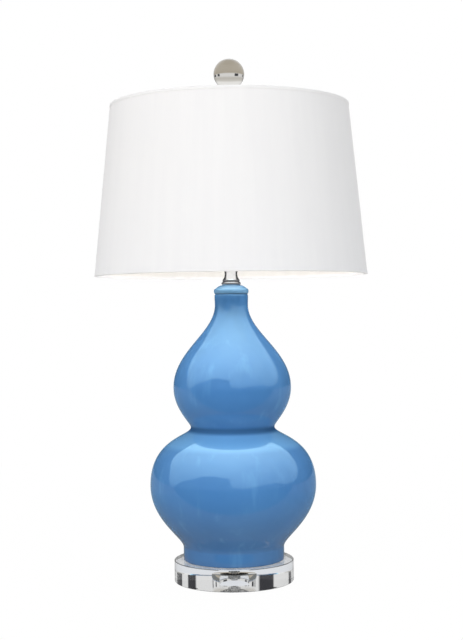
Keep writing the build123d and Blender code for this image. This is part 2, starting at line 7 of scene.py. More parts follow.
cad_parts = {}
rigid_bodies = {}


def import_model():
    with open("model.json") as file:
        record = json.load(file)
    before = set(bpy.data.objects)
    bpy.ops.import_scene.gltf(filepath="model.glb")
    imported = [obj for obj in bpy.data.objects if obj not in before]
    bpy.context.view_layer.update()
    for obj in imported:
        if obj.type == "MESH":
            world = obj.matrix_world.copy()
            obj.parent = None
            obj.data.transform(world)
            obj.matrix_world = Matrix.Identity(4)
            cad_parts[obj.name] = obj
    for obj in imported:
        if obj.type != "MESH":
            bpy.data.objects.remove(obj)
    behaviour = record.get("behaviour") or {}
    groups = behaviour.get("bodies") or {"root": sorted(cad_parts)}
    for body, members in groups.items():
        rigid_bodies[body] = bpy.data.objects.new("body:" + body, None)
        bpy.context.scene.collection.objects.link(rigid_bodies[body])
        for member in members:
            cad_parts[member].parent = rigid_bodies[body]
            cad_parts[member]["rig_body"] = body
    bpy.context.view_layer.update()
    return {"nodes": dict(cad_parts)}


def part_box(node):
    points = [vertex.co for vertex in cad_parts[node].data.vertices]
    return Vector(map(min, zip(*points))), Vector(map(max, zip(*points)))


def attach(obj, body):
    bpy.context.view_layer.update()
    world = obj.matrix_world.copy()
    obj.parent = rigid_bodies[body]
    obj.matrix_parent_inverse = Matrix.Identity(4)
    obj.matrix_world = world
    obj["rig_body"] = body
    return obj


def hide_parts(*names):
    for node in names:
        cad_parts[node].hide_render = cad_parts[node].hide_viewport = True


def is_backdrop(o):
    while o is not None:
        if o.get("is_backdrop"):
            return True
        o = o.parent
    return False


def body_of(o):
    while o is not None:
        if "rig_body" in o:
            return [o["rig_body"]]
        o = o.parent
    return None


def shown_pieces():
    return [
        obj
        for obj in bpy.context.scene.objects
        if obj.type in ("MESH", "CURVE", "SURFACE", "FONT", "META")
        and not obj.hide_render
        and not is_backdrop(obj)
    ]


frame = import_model()
mm = 0.001
degrees = 180 / math.pi  # in one radian


# Node trees: sums on a Signal add Math nodes, and everything else comes from Plan.node
class Signal:
    def __init__(self, plan, socket):
        self.plan, self.socket = plan, socket

    def of(self, name):
        return Signal(self.plan, self.socket.node.outputs[name])

    def maths(self, operation, other=None, flipped=False):
        pair = (other, self) if flipped else (self, other)
        sockets = {place: value for place, value in enumerate(pair) if value is not None}
        kind = "ShaderNodeMath"
        return self.plan.node(kind, {"operation": operation}, sockets)

    def __add__(self, other):
        return self.maths("ADD", other)

    def __radd__(self, other):
        return self.maths("ADD", other)

    def __sub__(self, other):
        return self.maths("SUBTRACT", other)

    def __rsub__(self, other):
        return self.maths("SUBTRACT", other, flipped=True)

    def __mul__(self, other):
        return self.maths("MULTIPLY", other)

    def __rmul__(self, other):
        return self.maths("MULTIPLY", other)

    def __truediv__(self, other):
        return self.maths("DIVIDE", other)

    def __rtruediv__(self, other):
        return self.maths("DIVIDE", other, flipped=True)


class Plan:
    def __init__(self, tree):
        self.tree = tree

    def node(self, kind, settings=None, sockets=None, out=0):
        made = self.tree.nodes.new(kind)
        for name, value in (settings or {}).items():
            if name == "stops":
                self.setStops(made.color_ramp, value)
            else:
                setattr(made, name, value)
        for key, value in (sockets or {}).items():
            self.feed(made.inputs[key], value)
        return Signal(self, made.outputs[out])

    def feed(self, socket, value):
        if isinstance(value, Signal):
            self.tree.links.new(value.socket, socket)
        elif isinstance(value, tuple) and len(value) == 3 and socket.type == "RGBA":
            socket.default_value = (*value, 1)
        else:
            socket.default_value = value

    def setStops(self, ramp, stops):
        while len(ramp.elements) > 1:
            ramp.elements.remove(ramp.elements[-1])
        for place, (position, level) in enumerate(stops):
            stop = ramp.elements[0] if place == 0 else ramp.elements.new(position)
            stop.position = position
            stop.color = (*level, 1) if isinstance(level, tuple) else (level, level, level, 1)

    def mix(self, share, first, second):
        sockets = {0: share, 6: first, 7: second}
        return self.node("ShaderNodeMix", {"data_type": "RGBA"}, sockets, out=2)

    def rise(self, value, low, high):
        sockets = {0: value, 1: low, 2: high}
        settings = {"interpolation_type": "SMOOTHSTEP"}
        return self.node("ShaderNodeMapRange", settings, sockets)

    def noise(self, place, scale, detail=3.0, roughness=0.5):
        sockets = {"Vector": place, "Scale": scale, "Detail": detail, "Roughness": roughness}
        return self.node("ShaderNodeTexNoise", None, sockets)

    def stretched(self, place, scale):
        return self.node("ShaderNodeMapping", None, {"Vector": place, "Scale": scale})

    def ramp(self, share, stops):
        return self.node("ShaderNodeValToRGB", {"stops": stops}, {0: share})

    def place(self):
        return self.node("ShaderNodeTexCoord", out="Object")

    def xyz(self, place):
        return self.node("ShaderNodeSeparateXYZ", None, {0: place})


# A material whose constants are set on the shader's own sockets
class Finish(Plan):
    def __init__(self, name, **constants):
        self.material = bpy.data.materials.new(name)
        self.material.use_nodes = True
        super().__init__(self.material.node_tree)
        self.shader = self.tree.nodes["Principled BSDF"]
        self.output = self.tree.nodes["Material Output"]
        for key, value in constants.items():
            self.set(key, value)

    def set(self, key, value):
        words = "".join(" " + c if c.isupper() else c for c in key).title().replace("Ior", "IOR")
        self.feed(self.shader.inputs[words], value)

    def solid(self):
        return Signal(self, self.shader.outputs[0])

    def shows(self, surface):
        self.feed(self.output.inputs["Surface"], surface)

    def letThrough(self, share, tint):
        glow = self.node("ShaderNodeBsdfTranslucent", None, {"Color": tint})
        self.shows(self.node("ShaderNodeMixShader", None, {0: share, 1: self.solid(), 2: glow}))

    def bump(self, height, strength, distance):
        sockets = {"Height": height, "Strength": strength, "Distance": distance}
        self.set("normal", self.node("ShaderNodeBump", None, sockets))


def colour(red, green, blue):
    # a colour as a screen shows it, 0 to 255, made linear
    def linear(level):
        level /= 255
        return level / 12.92 if level <= 0.04045 else ((level + 0.055) / 1.055) ** 2.4

    return linear(red), linear(green), linear(blue)


# Sizes are in millimetres. Outlines are (radius, height) points, from below upwards
contactGap = 0.06  # keeps two touching faces out of one plane, such as the foot's and the disc's
pipeHoleR = 5.5  # the clearance hole for the pipe, in every piece that it goes through


def bezier(start, startHandle, endHandle, end, steps):
    # a curve that leaves start towards its handle and reaches end from the other
    points = []
    for step in range(steps + 1):
        t = step / steps
        shares = ((1 - t) ** 3, 3 * t * (1 - t) ** 2, 3 * t * t * (1 - t), t**3)
        corners = (start, startHandle, endHandle, end)
        points.append(tuple(sum(s * c[axis] for s, c in zip(shares, corners)) for axis in (0, 1)))
    return points


def eased(corners, steps=6):
    # corners are (radius, height, rounding); each rounding is an arc that touches both sides
    made = []
    for number, (r, z, size) in enumerate(corners):
        here = Vector((r, z))
        if not size:
            made.append((r, z))
            continue
        before = (Vector(corners[number - 1][:2]) - here).normalized()
        after = (Vector(corners[(number + 1) % len(corners)][:2]) - here).normalized()
        half = before.angle(after) / 2
        centre = here + (before + after).normalized() * size / math.sin(half)
        first = here + before * size / math.tan(half) - centre
        swing = before.angle_signed(after)
        swing = -math.copysign(math.pi - abs(swing), swing)
        for step in range(steps + 1):
            made.append(tuple(centre + Matrix.Rotation(-swing * step / steps, 2) @ first))
    return made


def lining(points, wall):
    # the same stretch one wall to the left, from its end back to its start
    made = []
    for number, (r, z) in enumerate(points):
        before = points[max(number - 1, 0)]
        after = points[min(number + 1, len(points) - 1)]
        along = Vector((after[0] - before[0], after[1] - before[1])).normalized()
        made.append((r - wall * along.y, z + wall * along.x))
    return made[::-1]


# Trees of Geometry Nodes, each with an input for every size that it is given
def newTree(name, sizes):
    tree = bpy.data.node_groups.new(name, "GeometryNodeTree")
    tree.is_modifier = True
    kinds = {"Geometry": "Geometry", **sizes, "Finish": "Material"}
    for label, kind in kinds.items():
        tree.interface.new_socket(label, in_out="INPUT", socket_type="NodeSocket" + kind)
    tree.interface.new_socket("Geometry", in_out="OUTPUT", socket_type="NodeSocketGeometry")
    return Plan(tree)


def endTree(plan, made, finish):
    real = plan.node("GeometryNodeRealizeInstances", None, {"Geometry": made})
    sockets = {"Geometry": real, "Material": finish}
    painted = plan.node("GeometryNodeSetMaterial", None, sockets)
    end = plan.tree.nodes.new("NodeGroupOutput")
    plan.feed(end.inputs["Geometry"], painted)
    return plan.tree


# Turns an outline, a ring of edges in the XZ plane, about Z
def turningTree():
    plan = newTree("turned", {"Outline": "Object", "Around": "Int"})
    given = plan.node("NodeGroupInput", out="Outline")
    outline = plan.node("GeometryNodeObjectInfo", None, {"Object": given}, out="Geometry")
    count = plan.node("GeometryNodeAttributeDomainSize", None, {0: outline}, out="Point Count")
    sides = {"Size X": 1.0, "Size Y": 1.0}
    sides.update({"Vertices X": given.of("Around") + 1, "Vertices Y": count + 1})
    grid = plan.node("GeometryNodeMeshGrid", None, sides)
    kept = plan.node(
        "GeometryNodeStoreNamedAttribute",
        {"data_type": "FLOAT2", "domain": "CORNER"},
        {"Geometry": grid, "Name": "UVMap", "Value": grid.of("UV Map")},
    )
    where = plan.xyz(plan.node("GeometryNodeInputPosition"))
    row = ((where.of("Y") + 0.5) * count).maths("ROUND").maths("MODULO", count)
    point = plan.node(
        "GeometryNodeSampleIndex",
        {"data_type": "FLOAT_VECTOR", "domain": "POINT"},
        {"Geometry": outline, "Value": plan.node("GeometryNodeInputPosition"), "Index": row},
    )
    section = plan.xyz(point)
    turn = (where.of("X") + 0.5) * math.tau
    radius = section.of("X")
    spun = plan.node(
        "ShaderNodeCombineXYZ",
        None,
        {0: radius * turn.maths("COSINE"), 1: radius * turn.maths("SINE"), 2: section.of("Z")},
    )
    shaped = plan.node("GeometryNodeSetPosition", None, {"Geometry": kept, "Position": spun})
    merged = plan.node("GeometryNodeMergeByDistance", None, {"Geometry": shaped, "Distance": 1e-6})
    return endTree(plan, merged, given.of("Finish"))


# Winds a thread, as one wire on a cylinder
def threadTree():
    sizes = dict.fromkeys(("Radius", "Pitch", "Length", "Start", "Ridge"), "Float")
    plan = newTree("threaded", sizes)
    given = plan.node("NodeGroupInput", out="Radius")
    length = given.of("Length")
    spiral = {"Start Radius": given, "End Radius": given, "Height": length}
    spiral.update({"Resolution": 24, "Rotations": length / given.of("Pitch")})
    helix = plan.node("GeometryNodeCurveSpiral", None, spiral)
    circle = {"Resolution": 6, "Radius": given.of("Ridge")}
    ridge = plan.node("GeometryNodeCurvePrimitiveCircle", None, circle)
    wire = {"Curve": helix, "Profile Curve": ridge, "Fill Caps": True}
    wound = plan.node("GeometryNodeCurveToMesh", None, wire)
    lift = plan.node("ShaderNodeCombineXYZ", None, {2: given.of("Start")})
    placed = plan.node("GeometryNodeSetPosition", None, {"Geometry": wound, "Offset": lift})
    return endTree(plan, placed, given.of("Finish"))


def stood(name, data):
    # a new object, put in the scene
    made = bpy.data.objects.new(name, data)
    bpy.context.scene.collection.objects.link(made)
    return made


def result(piece):
    # what the piece's modifiers give, as a plain mesh
    return bpy.data.meshes.new_from_object(
        piece.evaluated_get(bpy.context.evaluated_depsgraph_get())
    )


def smooth(mesh, sharp):
    # smooth shading, but for edges that turn by more than sharp degrees
    mesh.polygons.foreach_set("use_smooth", [True] * len(mesh.polygons))
    mesh.set_sharp_from_angle(angle=math.radians(sharp))


def madeBy(tree, name, inputs):
    # runs a tree on an empty mesh and keeps what it gives
    holder = stood(name + "Holder", bpy.data.meshes.new(name + "Holder"))
    modifier = holder.modifiers.new("shape", "NODES")
    modifier.node_group = tree
    for item in tree.interface.items_tree:
        if item.in_out == "INPUT" and item.name in inputs:
            modifier[item.identifier] = inputs[item.name]
    mesh = result(holder)
    mesh.name = name
    bpy.data.objects.remove(holder)
    return stood(name, mesh)


def outwards(piece, sharp=35):
    shape = bmesh.new()
    shape.from_mesh(piece.data)
    bmesh.ops.recalc_face_normals(shape, faces=shape.faces)
    shape.to_mesh(piece.data)
    shape.free()
    smooth(piece.data, sharp)
    return piece


turned, threaded = turningTree(), threadTree()


def turn(name, outline, finish, around=128, sharp=35):
    # outline in millimetres; points on the axis close the piece there
    mesh = bpy.data.meshes.new(name + "Outline")
    points = [(r * mm, 0, z * mm) for r, z in outline]
    mesh.from_pydata(points, [(n, (n + 1) % len(points)) for n in range(len(points))], [])
    line = stood(name + "Outline", mesh)
    inputs = {"Outline": line, "Around": around, "Finish": finish.material}
    piece = outwards(madeBy(turned, name, inputs), sharp)
    bpy.data.objects.remove(line)
    return piece


def thread(name, sizes, low, finish):
    # wound from a little above the low end of the piece that carries it
    inputs = {
        "Radius": sizes["r"] * mm, "Pitch": sizes["pitch"] * mm, "Length": sizes["length"] * mm,
        "Start": (low + sizes["above"]) * mm, "Ridge": sizes["ridge"] * mm,
        "Finish": finish.material,
    }
    return outwards(madeBy(threaded, name, inputs), sharp=60)


def stands(piece, body, slot, *nodes):
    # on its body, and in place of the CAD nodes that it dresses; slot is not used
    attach(piece, body)
    if nodes:
        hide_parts(*nodes)


def levels(node):
    # the node's lowest and highest points, in millimetres
    low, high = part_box(node)
    return low.z / mm, high.z / mm


# Finishes
glazing = {
    # clouds and drips of tone, how far the drips are drawn down, and the share of the thin blue in them
    "coatIor": 1.95, "cloudScale": 9.0, "runScale": 46.0, "runDrawn": 0.22, "runShare": 0.3,
    # the crease: share and darkness of its painted shadow, its roughness, and how soft its edge is
    "creaseShadowShare": 0.8, "creaseShadowLevel": 0.4, "creaseRough": 0.45, "creaseSoft": 1 / 7,
    "rough": 0.025, "speckScale": 900.0, "speckRough": 0.05,
    # painted light in a band below the crease, where the lower belly faces up: where it fades in and
    # out, in mm, and its share
    "bandLow": (-30.0, -21.0), "bandHigh": (-7.0, -1.0), "litBandShare": 0.65,
    "skinScale": 38.0, "peelScale": 210.0, "peelShare": 0.12,
}


def glazeFinish(name, body, thin, pooled, creaseZ, creaseW):
    # glass over colour: deeper where it pools and paler where it ran thin, with a painted shadow in the
    # crease and painted light in a band below it
    g = glazing
    made = Finish(name, coatRoughness=0.0, specularIorLevel=0.0)
    made.shader.inputs["Coat IOR"].default_value = g["coatIor"]
    place = made.place()
    cloud = made.noise(place, g["cloudScale"], 4.0, 0.55)
    runs = made.noise(made.stretched(place, (1, 1, g["runDrawn"])), g["runScale"])
    tone = made.mix(made.rise(cloud, 0.35, 0.68), pooled, body)
    tone = made.mix(made.rise(runs, 0.55, 0.8) * g["runShare"], tone, thin)
    above = made.xyz(place).of("Z") / mm - creaseZ
    crease = 1 - made.rise(above.maths("ABSOLUTE"), creaseW * g["creaseSoft"], creaseW)
    # painted light: a band below the crease turned towards the thin blue
    under = made.rise(above, *g["bandLow"]) * (1 - made.rise(above, *g["bandHigh"]))
    tone = made.mix(under * g["litBandShare"], tone, thin)
    # painted shadow: the crease turns towards a darker copy of the body blue
    dark = tuple(level * g["creaseShadowLevel"] for level in body)
    made.set("baseColor", made.mix(crease * g["creaseShadowShare"], tone, dark))
    made.set("coatWeight", 1 - crease)
    speck = made.rise(made.noise(place, g["speckScale"], 2.0), 0.62, 0.75)
    made.set("roughness", g["rough"] + speck * g["speckRough"] + crease * g["creaseRough"])
    peel = made.noise(place, g["peelScale"], 2.0)
    made.bump(made.noise(place, g["skinScale"], 2.0) + peel * g["peelShare"], 0.06, 0.0008)
    return made


def clearFinish(name, tint, ior, roughness):
    made = Finish(name, baseColor=tint, roughness=roughness, transmissionWeight=1.0)
    made.shader.inputs["IOR"].default_value = ior
    place = made.place()
    ripple = made.noise(place, 60.0, 2.0)
    made.bump(ripple, 0.02, 0.0004)
    return made


def metalFinish(name, tint, worn, roughness, brushed=0.15):
    made = Finish(name, metallic=1.0)
    place = made.place()
    lines = made.noise(made.stretched(place, (1, 1, 90)), 30.0, 3.0)
    smears = made.noise(place, 120.0, 4.0)
    made.set("baseColor", made.mix(made.rise(smears, 0.45, 0.75), tint, worn))
    made.set("roughness", roughness + made.rise(smears, 0.4, 0.8) * roughness + lines * 0.03)
    made.bump(lines, brushed, 0.0001)
    return made


weaving = {
    "pitch": 0.9, "threads": 0.12, "roundShare": 0.7,
    # how fast the slubs and the broad patches change round the shade and up it
    "slubUp": (0.9, 0.018, 1), "slubRound": (0.02, 1.0, 1), "patches": (0.08, 0.004, 1),
    "tone": (0.875, 0.875, 0.885), "pale": (0.905, 0.905, 0.91),
    "through": 0.26, "throughTint": (0.92, 0.88, 0.88),
}


def linenFinish(w, middleR):
    # threads run round the shade and up its slant; slubs make some of them thicker
    made = Finish("whiteLinen", roughness=0.85, sheenWeight=0.15, sheenRoughness=0.5)
    place = made.place()
    xyz = made.xyz(place)
    along = xyz.of("Y").maths("ARCTAN2", xyz.of("X")) * middleR
    up = xyz.of("Z") / mm
    warp = (along * (math.tau / w["pitch"])).maths("SINE")
    weft = (up * (math.tau / w["pitch"])).maths("SINE")
    spot = made.node("ShaderNodeCombineXYZ", None, {0: along, 1: up})
    slubUp = made.noise(made.stretched(spot, w["slubUp"]), 1.0, 3.0, 0.6)
    slubRound = made.noise(made.stretched(spot, w["slubRound"]), 1.0, 3.0, 0.6)
    broad = made.noise(made.stretched(spot, w["patches"]), 1.0, 2.0)
    thick = made.rise(slubUp, 0.5, 0.78) + made.rise(slubRound, 0.52, 0.8) * w["roundShare"]
    share = made.rise(slubUp, 0.3, 0.8) * 0.5 + made.rise(broad, 0.3, 0.7) * 0.5
    made.set("baseColor", made.mix(share, w["tone"], w["pale"]))
    made.bump(warp * weft * w["threads"] + thick, 0.2, 0.0002)
    made.letThrough(w["through"], w["throughTint"])
    return made


def plainFinish(name, tint, other, roughness, scale=80.0, bump=0.1):
    made = Finish(name)
    place = made.place()
    mottle = made.noise(place, scale, 4.0)
    made.set("baseColor", made.mix(made.rise(mottle, 0.35, 0.7), tint, other))
    made.set("roughness", roughness + made.rise(mottle, 0.3, 0.8) * 0.1)
    made.bump(made.noise(place, scale * 4, 3.0), bump, 0.0002)
    return made


acrylic = clearFinish("clearAcrylic", (0.985, 0.99, 0.99), 1.49, 0.008)
crystal = clearFinish("clearCrystal", (0.90, 0.885, 0.85), 1.54, 0.008)
nickel = metalFinish("polishedNickel", (0.66, 0.65, 0.63), (0.58, 0.57, 0.55), 0.05)
zinc = metalFinish("zincSteel", (0.62, 0.63, 0.64), (0.5, 0.5, 0.5), 0.22, 0.3)
aluminium = metalFinish("rolledAluminium", (0.8, 0.8, 0.8), (0.7, 0.7, 0.7), 0.2)
brass = metalFinish("plainBrass", (0.75, 0.55, 0.25), (0.6, 0.42, 0.18), 0.18)
styrene = plainFinish("styreneLiner", (0.9, 0.9, 0.88), (0.86, 0.86, 0.84), 0.5)
styrene.letThrough(0.45, (0.95, 0.93, 0.9))
wire = plainFinish("whiteWire", (0.86, 0.86, 0.85), (0.8, 0.8, 0.78), 0.3)
nylon = plainFinish("nylon", (0.82, 0.82, 0.8), (0.76, 0.76, 0.73), 0.35)
rubber = plainFinish("softBumper", (0.7, 0.71, 0.72), (0.62, 0.63, 0.64), 0.4)
card = plainFinish("cardSleeve", (0.35, 0.27, 0.18), (0.28, 0.21, 0.13), 0.85, 220.0, 0.4)
phenolic = plainFinish("blackPhenolic", (0.02, 0.02, 0.02), (0.03, 0.03, 0.03), 0.25)
frosted = plainFinish("frostedGlass", (0.62, 0.6, 0.56), (0.58, 0.56, 0.52), 0.3)
frosted.set("emissionColor", (1.0, 0.82, 0.58))
frosted.set("emissionStrength", 0.35)
print("finishes drawn up")

# The gourd. Heights are from its foot, and Under and Over are how far each curve holds its heading
gourd = {
    "wall": 5.0,
    "footR": 75.0, "footH": 18.7, "footRun": 15.4, "footRound": 1.6,
    "lowerR": 123.6, "lowerH": 111.2, "lowerUnder": 51.5, "lowerOver": 70.0,
    "waistR": 62.5, "waistH": 197.1, "waistUnder": 13.6, "waistOver": 6.5,
    "upperR": 87.7, "upperH": 256.1, "upperUnder": 32.2, "upperOver": 55.0,
    "neckR": 24.7, "neckH": 379.2, "neckUnder": 41.3, "neckOver": 4.0,
    "lipR": 25.0, "lipRoll": 4.0, "lipRound": 2.2, "lipFlat": 0.4,
    "steps": 48, "shortH": 20.0, "shortSteps": 8, "around": 256, "sharp": 50,
    "boreR": 5.0, "boreReach": 40.0,
    # where the crease's painted shadow lies below the waist, and how wide it is, in mm
    "creaseDrop": 2.0, "creaseW": 7.0,
    # as it is on most of the body, where it ran thin, and where it pools; the thin blue also paints the
    # light in the band below the crease
    "blues": [colour(69, 117, 169), colour(100, 152, 198), colour(64, 112, 166)],
}
footZ, lipZ = levels("gourd_body")


def gourdOutline(g):
    foot = footZ + contactGap
    stations = [
        (g["footR"], footZ + g["footH"], 0, g["footRun"]),
        (g["lowerR"], footZ + g["lowerH"], g["lowerUnder"], g["lowerOver"]),
        (g["waistR"], footZ + g["waistH"], g["waistUnder"], g["waistOver"]),
        (g["upperR"], footZ + g["upperH"], g["upperUnder"], g["upperOver"]),
        (g["neckR"], footZ + g["neckH"], g["neckUnder"], g["neckOver"]),
        (g["lipR"], lipZ - g["lipRoll"], g["lipRoll"], 0),
    ]
    flank = [(g["footR"], footZ + g["footH"] / 2), stations[0][:2]]
    for (r, z, _, over), (nextR, nextZ, under, _) in zip(stations, stations[1:]):
        steps = g["steps"] if nextZ - z > g["shortH"] else g["shortSteps"]
        flank += bezier((r, z), (r, z + over), (nextR, nextZ - under), (nextR, nextZ), steps)[1:]
    inner = lining(flank, g["wall"])
    bottom = [(pipeHoleR, foot, 0), (g["footR"], foot, g["footRound"]), (g["footR"], lipZ, 0)]
    lipInR = g["lipR"] - g["wall"]
    lip = eased(
        [
            (g["lipR"], footZ, 0),
            (g["lipR"], lipZ, g["lipRound"]),
            (lipInR, lipZ, g["wall"] - g["lipRound"] - g["lipFlat"]),
            (lipInR, footZ, 0),
        ]
    )
    floorZ = footZ + g["wall"]
    floor = [(g["footR"] - g["wall"], floorZ), (pipeHoleR, floorZ)]
    return eased(bottom)[:-1] + flank + lip[1:-1] + inner + floor


# the painted crease shadow lies just below the waist
creaseZ = footZ + gourd["waistH"] - gourd["creaseDrop"]
glaze = glazeFinish("blueGlaze", *gourd["blues"], creaseZ, gourd["creaseW"])
body = turn("glazedGourd", gourdOutline(gourd), glaze, gourd["around"], gourd["sharp"])
print("gourd turned", len(body.data.polygons))


# The hole for the bushing at the back of the foot
def boreFoot(piece, node, g):
    low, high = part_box(node)
    radius = g["boreR"] * mm
    tool = bpy.data.meshes.new("bore")
    shape = bmesh.new()
    bmesh.ops.create_cone(
        shape, cap_ends=True, segments=48, radius1=radius, radius2=radius,
        depth=g["boreReach"] * mm,
        matrix=Matrix.Translation((low + high) / 2) @ Matrix.Rotation(math.pi / 2, 4, "X"),
    )
    shape.to_mesh(tool)
    shape.free()
    cutter = stood("bore", tool)
    cut = piece.modifiers.new("bore", "BOOLEAN")
    cut.object, cut.operation, cut.solver = cutter, "DIFFERENCE", "EXACT"
    mesh = result(piece)
    piece.modifiers.clear()
    piece.data = mesh
    mesh.name = piece.name
    bpy.data.objects.remove(cutter)
    smooth(mesh, g["sharp"])


boreFoot(body, "cord_bushing", gourd)
stands(body, "stand", "blue_glaze", "gourd_body")

# Vase cap, bead ring and spool
cap = {
    "rimR": 25.9, "beadH": 7.4, "beadDepth": 1.4, "crownR": 14.6, "sheet": 1.4,
    "spigotR": 19.1, "spigotH": 5.0, "around": 128, "steps": 12,
    # the crown's curve: how far it runs in over the bead, out from its top, and by how much it rises
    "crownIn": 4.0, "crownOut": 4.0, "crownLift": 2.2, "crownDip": 0.2,
    # the width of the painted shadow line where the cap's bead meets the gourd's lip
    "creaseW": 2.2,
    # body, thin and pooled blues, lighter than the gourd's: painted light that the upward-facing cap
    # catches
    "blues": [colour(112, 155, 192), colour(135, 175, 208), colour(102, 147, 186)],
}
neckRing = {"r": 14.4, "round": 2.2, "steps": 10, "around": 96}
spool = {"r": 12.7, "waistR": 9.3, "flangeH": 3.0, "edge": 0.5, "steps": 24, "around": 96}
capHigh = levels("vase_cap")[1]
ringLow, ringHigh = levels("neck_ring")
spoolLow, spoolHigh = levels("neck_spool")


def arcThrough(start, middle, end, steps):
    # a circle's arc from start through middle to end
    (ax, ay), (bx, by), (cx, cy) = start, middle, end
    d = 2 * (ax * (by - cy) + bx * (cy - ay) + cx * (ay - by))
    sa, sb, sc = ax * ax + ay * ay, bx * bx + by * by, cx * cx + cy * cy
    centre = Vector(((sa * (by - cy) + sb * (cy - ay) + sc * (ay - by)) / d,
                     (sa * (cx - bx) + sb * (ax - cx) + sc * (bx - ax)) / d))
    first, via, last = (Vector(point) - centre for point in (start, middle, end))
    swing = first.angle_signed(via) + via.angle_signed(last)
    spins = [Matrix.Rotation(-swing * step / steps, 2) for step in range(steps + 1)]
    return [tuple(centre + spin @ first) for spin in spins]


def capOutline(c):
    beadZ = lipZ + c["beadH"]
    bead = arcThrough(
        (c["rimR"] - c["beadDepth"], lipZ + contactGap),
        (c["rimR"], lipZ + c["beadH"] / 2),
        (c["rimR"] - c["beadDepth"] / 2, beadZ),
        c["steps"],
    )
    over = (bead[-1][0] - c["crownIn"], beadZ + c["crownLift"])
    below = (c["crownR"] + c["crownOut"], capHigh - c["crownDip"])
    crown = bezier(bead[-1], over, below, (c["crownR"], capHigh), c["steps"])
    under = [
        (pipeHoleR, capHigh),
        (pipeHoleR, capHigh - c["sheet"]),
        (c["crownR"] - c["sheet"], capHigh - c["sheet"]),
        (c["spigotR"] - c["sheet"], beadZ - c["sheet"]),
        (c["spigotR"] - c["sheet"], lipZ - c["spigotH"]),
        (c["spigotR"], lipZ - c["spigotH"]),
        (c["spigotR"], lipZ + contactGap),
    ]
    return bead + crown[1:] + under


def ringOutline(n):
    low = ringLow + contactGap
    outer = [(n["r"], low, n["round"]), (n["r"], ringHigh, n["round"])]
    return eased([(pipeHoleR, low, 0), *outer, (pipeHoleR, ringHigh, 0)], n["steps"])


def spoolOutline(s):
    hollow = arcThrough(
        (s["r"], spoolLow + s["flangeH"]),
        (s["waistR"], (spoolLow + spoolHigh) / 2),
        (s["r"], spoolHigh - s["flangeH"]),
        s["steps"],
    )
    low = spoolLow + contactGap
    lower = eased([(pipeHoleR, low, 0), (s["r"], low, s["edge"]), (*hollow[0], 0)])
    upper = eased([(*hollow[-1], 0), (s["r"], spoolHigh, s["edge"]), (pipeHoleR, spoolHigh, 0)])
    return lower[:-1] + hollow + upper[1:]


# the enamel's painted crease shadow lies at the lip, under the cap's bead
enamel = glazeFinish("blueEnamel", *cap["blues"], lipZ, cap["creaseW"])
vaseCap = turn("vaseCap", capOutline(cap), enamel, cap["around"], sharp=40)
beadRing = turn("beadRing", ringOutline(neckRing), nickel, neckRing["around"])
neckSpool = turn("neckSpool", spoolOutline(spool), nickel, spool["around"])
stands(vaseCap, "stand", "blue_enamel", "vase_cap")
stands(beadRing, "stand", "polished_nickel", "neck_ring")
stands(neckSpool, "stand", "polished_nickel", "neck_spool")
print("neck turned")

# The clear disc, with the pocket for the nut in its underside
disc = {
    "r": 88.9, "edge": 0.8, "recessR": 22.2, "recessH": 14.5, "recessRound": 0.25,
    "steps": 3, "around": 256, "sharp": 25,
}


def discOutline(d):
    low, high = levels("acrylic_base")
    recessZ = low + d["recessH"]
    corners = [
        (pipeHoleR, recessZ, 0),
        (d["recessR"], recessZ, d["recessRound"]),
        (d["recessR"], low, 0),
        (d["r"] - d["edge"], low, 0),
        (d["r"], low + d["edge"], 0),
        (d["r"], high - d["edge"], 0),
        (d["r"] - d["edge"], high, 0),
        (pipeHoleR, high, 0),
    ]
    return eased(corners, d["steps"])


clearDisc = turn("clearDisc", discOutline(disc), acrylic, disc["around"], disc["sharp"])
stands(clearDisc, "stand", "acrylic", "acrylic_base")
print("disc turned")

# The shade: linen and liner between rolled hems. Along is up the slant, inset inwards from outside
shade = {
    "bottomR": 203.2, "topR": 177.8, "slant": 254.0,
    "linen": 0.8, "liner": 0.6, "hem": 0.5, "hemW": 4.5, "ringR": 1.3, "slip": 0.1,
    "foldRound": 0.9, "edgeRound": 0.2, "foldSteps": 4,
    "rows": 32, "around": 256, "sharp": 60,
    "lapW": 12.0, "lapT": 0.35, "lapRows": 24, "lapColumns": 6,
}
spread = shade["bottomR"] - shade["topR"]
slantH = math.sqrt(shade["slant"] ** 2 - spread**2)
outR, outZ = slantH / shade["slant"], spread / shade["slant"]
bottomZ = levels("shade_top_hem")[1] - slantH
middleR = (shade["bottomR"] + shade["topR"]) / 2
linen = linenFinish(weaving, middleR)


def onWall(along, inset):
    # a point of the shade's wall, as (radius, height)
    return (
        shade["bottomR"] - along * outZ - inset * outR,
        bottomZ + along * outR - inset * outZ,
    )


def layerOutline(s, inset, thickness):
    low, high = s["hem"], s["slant"] - s["hem"]
    reach = [low + (high - low) * row / s["rows"] for row in range(s["rows"] + 1)]
    outer = [onWall(along, inset) for along in reach]
    inner = [onWall(along, inset + thickness) for along in reversed(reach)]
    return outer + inner


def hemOutline(s, edge, inwards):
    depth = s["hem"] + s["linen"] + s["liner"] + 2 * s["ringR"] + s["slip"]
    fold, thin = s["hem"] * s["foldRound"], s["edgeRound"]
    near, far = edge + inwards * s["hem"], edge + inwards * s["hemW"]
    corners = [
        (*onWall(edge, 0), fold),
        (*onWall(far, 0), thin),
        (*onWall(far, s["hem"]), thin),
        (*onWall(near, s["hem"]), 0),
        (*onWall(near, depth), 0),
        (*onWall(far, depth), thin),
        (*onWall(far, depth + s["hem"]), thin),
        (*onWall(edge, depth + s["hem"]), fold),
    ]
    return eased(corners, s["foldSteps"])


